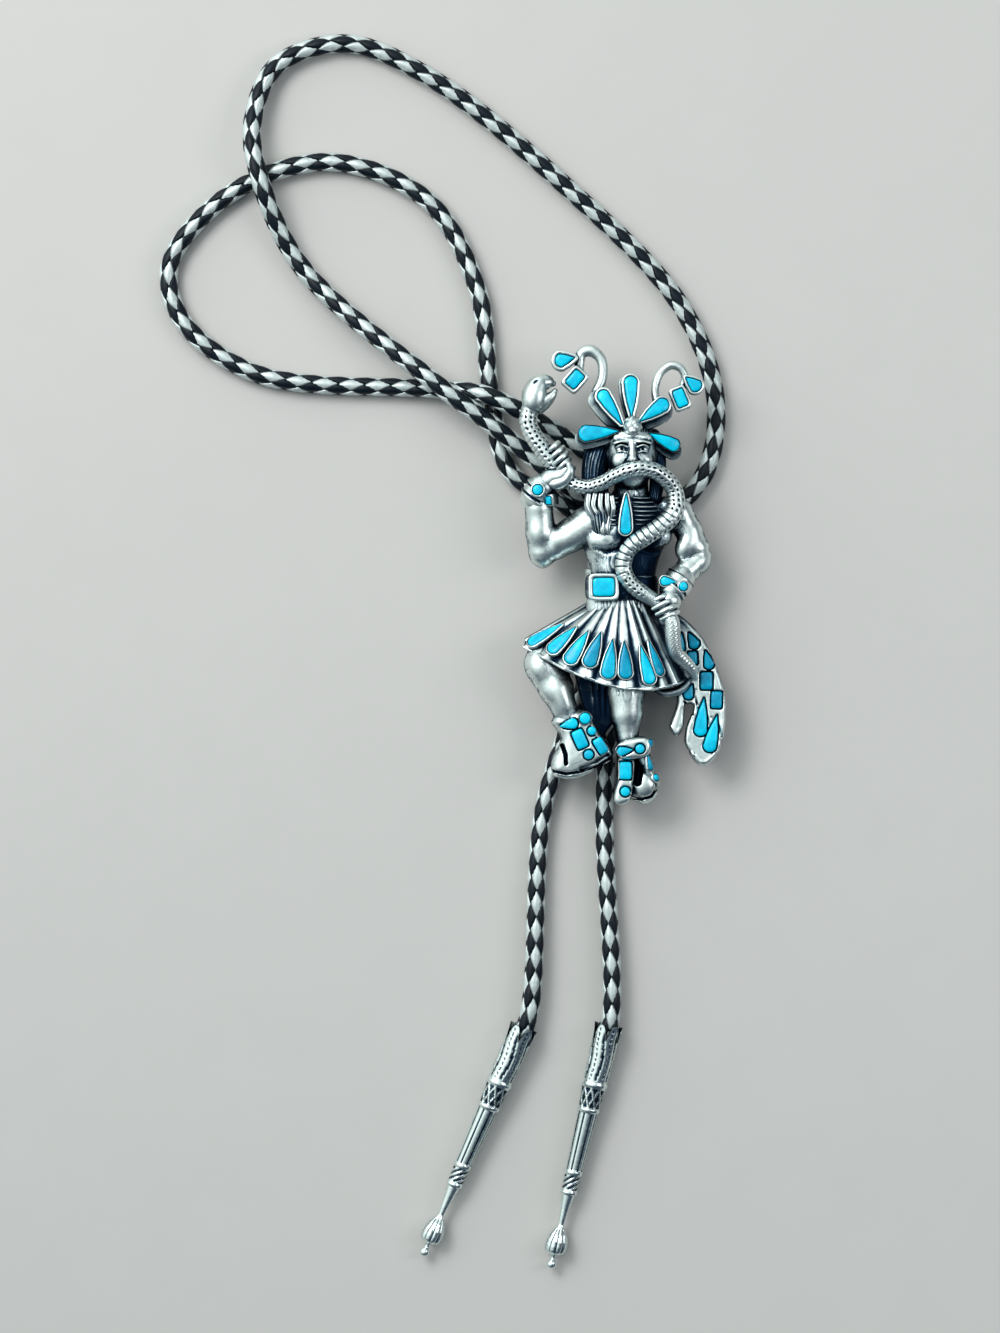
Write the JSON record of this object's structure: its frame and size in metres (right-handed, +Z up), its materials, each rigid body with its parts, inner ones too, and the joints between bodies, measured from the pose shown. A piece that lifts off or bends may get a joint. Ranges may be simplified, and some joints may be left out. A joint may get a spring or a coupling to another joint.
{
  "type": "bolo tie with a silver and turquoise dancer slide, braided cord and tips",
  "caption": "Bolo tie: a cast silver dancer slide inlaid with turquoise on a braided two-tone leather cord, laid in a doubled loop, with two long silver tips",
  "frame": {"origin": "on the surface that the tie lies on, below the middle of the slide", "axes": "+X to the right of the slide seen from the front, +Y towards the top of the slide, +Z up out of its face"},
  "size_m": [0.136, 0.2975, 0.0222],
  "materials": {
    "antique_silver": "cast sterling silver, oxidised dark in the recesses and polished on the high places",
    "plain_silver": "plain satin silver",
    "tip_silver": "chased and fluted silver, darkened in the grooves",
    "turquoise": "polished turquoise",
    "braided_leather": "round braid of silvered and black leather"
  },
  "bodies": {
    "root": {"dancer_slide": "antique_silver", "cord_clip": "plain_silver", "braided_cord": "braided_leather", "left_tip": "tip_silver", "right_tip": "tip_silver", "feather_stone_1": "turquoise", "feather_stone_2": "turquoise", "feather_stone_3": "turquoise", "feather_stone_4": "turquoise", "feather_stone_5": "turquoise", "left_ornament_drop": "turquoise", "left_ornament_square": "turquoise", "right_ornament_square": "turquoise", "right_ornament_drop": "turquoise", "left_cuff_round": "turquoise", "left_cuff_square": "turquoise", "pendant_stone": "turquoise", "buckle_stone": "turquoise", "right_cuff_drop": "turquoise", "right_cuff_round": "turquoise", "left_boot_drop": "turquoise", "left_boot_round_1": "turquoise", "left_boot_square_1": "turquoise", "left_boot_round_2": "turquoise", "left_boot_square_2": "turquoise", "left_boot_round_3": "turquoise", "right_boot_drop": "turquoise", "right_boot_round": "turquoise", "right_boot_edge": "turquoise", "right_boot_square": "turquoise", "right_boot_toe": "turquoise", "right_strap_drop": "turquoise", "right_strap_round": "turquoise", "tail_drop_1": "turquoise", "tail_drop_2": "turquoise", "tail_square_1": "turquoise", "tail_drop_3": "turquoise", "tail_square_2": "turquoise", "tail_square_3": "turquoise", "tail_drop_4": "turquoise", "tail_drop_5": "turquoise", "tail_drop_6": "turquoise", "kilt_stone_1": "turquoise", "kilt_stone_2": "turquoise", "kilt_stone_3": "turquoise", "kilt_stone_4": "turquoise", "kilt_stone_5": "turquoise", "kilt_stone_6": "turquoise", "kilt_stone_7": "turquoise", "kilt_stone_8": "turquoise"}
  },
  "joints": []
}
